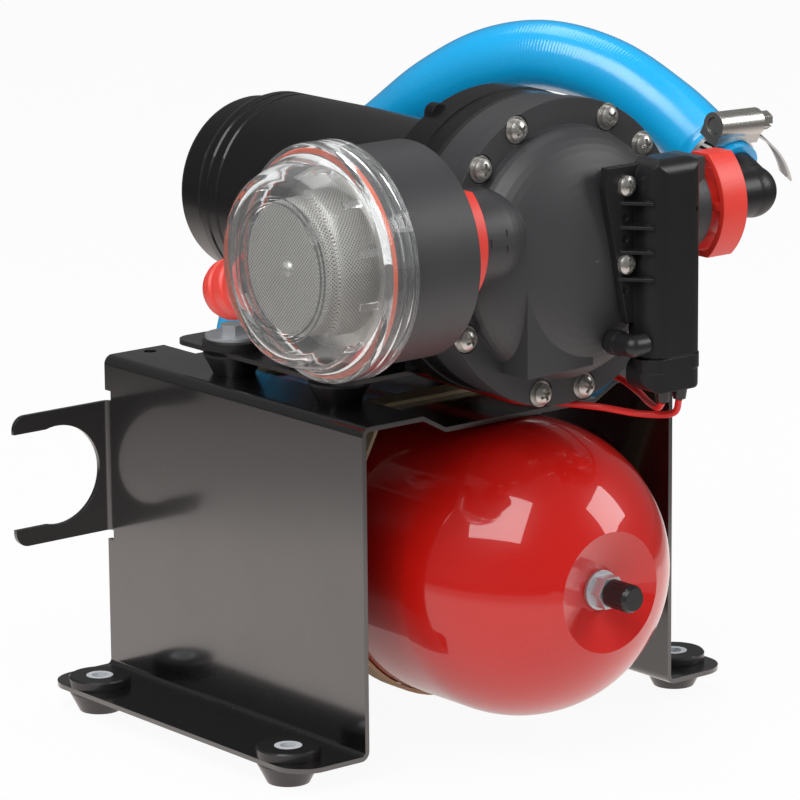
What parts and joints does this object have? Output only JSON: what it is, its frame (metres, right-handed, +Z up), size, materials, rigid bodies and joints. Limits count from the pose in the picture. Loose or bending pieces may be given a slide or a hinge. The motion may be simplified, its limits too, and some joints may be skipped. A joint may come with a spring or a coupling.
{
  "type": "caravan water pump with pressure tank",
  "caption": "Electric diaphragm water pump with clear strainer, pressure switch and blue hose, rubber-mounted on a folded steel bracket that straddles a small red pressure tank.",
  "frame": {"origin": "on the floor plane under the rubber feet, midway between the four foot holes", "axes": "+Z up, +X from the strainer side to the outlet side, -Y to the front where the pump head and the tank valve are"},
  "size_m": [0.289, 0.3092, 0.2859],
  "materials": {
    "black_steel": "gloss black powder coat on folded sheet",
    "mount_rubber": "matt black moulded rubber",
    "plated_steel": "bright zinc plate",
    "black_bolt": "blackened hexagon bolts",
    "stainless": "bright stainless steel",
    "motor_black": "gloss black motor paint",
    "charcoal_plastic": "satin charcoal moulding",
    "red_plastic": "signal red moulding",
    "orange_rubber": "orange face seal",
    "clear_plastic": "clear moulded cap",
    "blue_hose": "blue reinforced hose with fine rings",
    "wire_red": "red wire insulation",
    "tank_red": "gloss red enamel",
    "natural_nylon": "natural nylon",
    "acetal": "white acetal",
    "ferrite": "grey ferrite magnet",
    "copper": "copper and lacquered wire",
    "carbon": "carbon block",
    "brown_board": "brown insulating board",
    "hub_alloy": "machined alloy",
    "valve_brass": "plain brass",
    "black_plastic": "black moulding"
  },
  "bodies": {
    "frame": {"bracket": "black_steel", "rubber_mounts": "mount_rubber", "mount_sleeves": "plated_steel", "mount_washers": "plated_steel", "mount_bolts": "black_bolt", "mount_nuts": "plated_steel", "base_plate": "black_steel", "drive_housing": "motor_black", "motor_can": "motor_black", "motor_end_cap": "motor_black", "field_magnets": "ferrite", "brush_plate": "brown_board", "carbon_brushes": "carbon", "shaft_bearings": "plated_steel", "diaphragm": "mount_rubber", "valve_plate": "charcoal_plastic", "inlet_valves": "mount_rubber", "outlet_valve": "mount_rubber", "pump_head": "charcoal_plastic", "head_screws": "stainless", "head_washers": "stainless", "strainer_housing": "charcoal_plastic", "strainer_basket": "stainless", "outlet_elbow": "charcoal_plastic", "port_seals": "mount_rubber", "outlet_hose": "blue_hose", "clamp_band": "stainless", "clamp_housing": "stainless", "switch_cover": "charcoal_plastic", "switch_end_cap": "charcoal_plastic", "switch_screws": "stainless", "micro_switch": "black_plastic", "switch_spring": "plated_steel", "sense_tube": "charcoal_plastic", "wire_boots": "mount_rubber", "motor_wire": "wire_red", "supply_wire": "wire_red", "tank_shell": "tank_red", "tank_bladder": "mount_rubber", "tank_tee": "charcoal_plastic", "valve_nut": "plated_steel", "valve_stem": "valve_brass", "tank_straps": "natural_nylon"},
    "rotor": {"rotor_shaft": "plated_steel", "armature": "copper", "commutator": "copper", "tilted_hub": "hub_alloy"},
    "wobble": {"wobble_bearing": "plated_steel", "wobble_plate": "acetal", "pistons": "acetal"},
    "strainer_seal": {"strainer_seal": "orange_rubber"},
    "strainer_cap": {"strainer_cap": "clear_plastic"},
    "inlet_clip": {"inlet_clip": "red_plastic"},
    "outlet_clip": {"outlet_clip": "red_plastic"},
    "inlet_cap": {"inlet_cap": "red_plastic"},
    "valve_seal": {"valve_seal": "mount_rubber"},
    "valve_cap": {"valve_cap": "black_plastic"},
    "valve_pin": {"valve_pin": "valve_brass"},
    "clamp_screw": {"clamp_screw": "stainless"},
    "switch_plunger": {"switch_plunger": "acetal"}
  },
  "joints": [
    {"name": "rotor_spin", "type": "hinge", "parent": "frame", "child": "rotor", "pos_m": [0, 0, 0.211], "axis": [0, 1, 0], "continuous": true},
    {"name": "wobble_turn", "type": "hinge", "parent": "rotor", "child": "wobble", "pos_m": [0, -0.0843, 0.211], "axis": [0, 0.9976, 0.0698], "continuous": true},
    {"name": "strainer_cap_travel", "type": "slide", "parent": "frame", "child": "strainer_seal", "axis": [-1, 0, 0], "range_m": [0, 0.0121]},
    {"name": "strainer_cap_turn", "type": "hinge", "parent": "strainer_seal", "child": "strainer_cap", "pos_m": [-0.12, -0.1145, 0.2234], "axis": [-1, 0, 0], "range_deg": [0, 720]},
    {"name": "inlet_clip_slide", "type": "slide", "parent": "frame", "child": "inlet_clip", "axis": [0, -1, 0], "range_m": [0, 0.012]},
    {"name": "outlet_clip_slide", "type": "slide", "parent": "frame", "child": "outlet_clip", "axis": [0, -1, 0], "range_m": [0, 0.012]},
    {"name": "inlet_cap_pull", "type": "slide", "parent": "frame", "child": "inlet_cap", "axis": [0, 0.9563, -0.2924], "range_m": [0, 0.03]},
    {"name": "valve_cap_travel", "type": "slide", "parent": "frame", "child": "valve_seal", "axis": [0, -1, 0], "range_m": [0, 0.006]},
    {"name": "valve_cap_turn", "type": "hinge", "parent": "valve_seal", "child": "valve_cap", "pos_m": [0, -0.15, 0.076], "axis": [0, -1, 0], "range_deg": [0, 2745]},
    {"name": "valve_pin_press", "type": "slide", "parent": "frame", "child": "valve_pin", "axis": [0, 1, 0], "range_m": [0, 0.0015], "stiffness_N_per_m": 400},
    {"name": "clamp_screw_turn", "type": "hinge", "parent": "frame", "child": "clamp_screw", "pos_m": [0.10218, -0.10506, 0.25038], "axis": [0.9994, 0.0164, -0.0308], "continuous": true},
    {"name": "plunger_press", "type": "slide", "parent": "frame", "child": "switch_plunger", "axis": [0, 0, 1], "range_m": [0, 0.0015], "stiffness_N_per_m": 900, "deforming": ["switch_spring"]}
  ],
  "couplings": [
    {"joint": "wobble_turn", "follows": "rotor_spin", "ratio": -1},
    {"joint": "strainer_cap_travel", "follows": "strainer_cap_turn", "m_per_rad": 0.00095493},
    {"joint": "valve_cap_turn", "follows": "valve_cap_travel", "rad_per_m": 7854}
  ]
}
